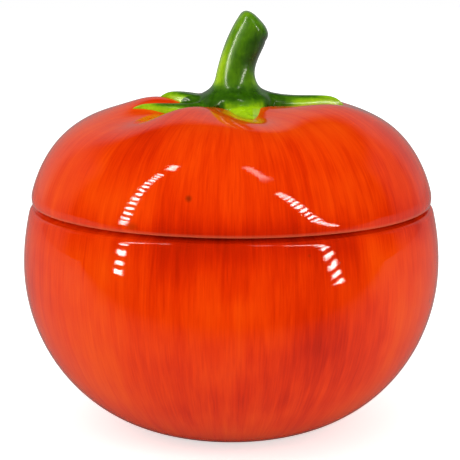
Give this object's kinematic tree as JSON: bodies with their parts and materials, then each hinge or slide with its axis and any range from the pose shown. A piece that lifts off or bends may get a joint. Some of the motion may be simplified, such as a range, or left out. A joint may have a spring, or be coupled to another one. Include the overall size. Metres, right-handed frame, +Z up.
{
  "type": "lidded jar",
  "caption": "Round glazed ceramic jar shaped like a tomato, with a lobed lift-off lid, a leaning stem for a knob and green sepals round it.",
  "frame": {"origin": "centre of the foot's resting face", "axes": "+Z up along the jar's axis, -Y towards the viewer, +X the way the stem leans"},
  "size_m": [0.127, 0.127, 0.1259],
  "materials": {
    "red_glaze": "gloss",
    "green_glaze": "gloss",
    "cream_glaze": "gloss",
    "bare_clay": "matte"
  },
  "bodies": {
    "bowl": {"bowl": "red_glaze"},
    "lid_ring": {"lid_flange": "cream_glaze"},
    "lid": {"lid": "red_glaze", "stem": "green_glaze", "sepal_right": "green_glaze", "sepal_right_back": "green_glaze", "sepal_left_back": "green_glaze", "sepal_left_front": "green_glaze", "sepal_front": "green_glaze"}
  },
  "joints": [
    {"name": "lid_lift", "type": "slide", "parent": "bowl", "child": "lid_ring", "axis": [0, 0, 1], "range_m": [0, 0.15]},
    {"name": "lid_turn", "type": "hinge", "parent": "lid_ring", "child": "lid", "pos_m": [0, 0, 0.069], "axis": [0, 0, 1], "continuous": true}
  ]
}
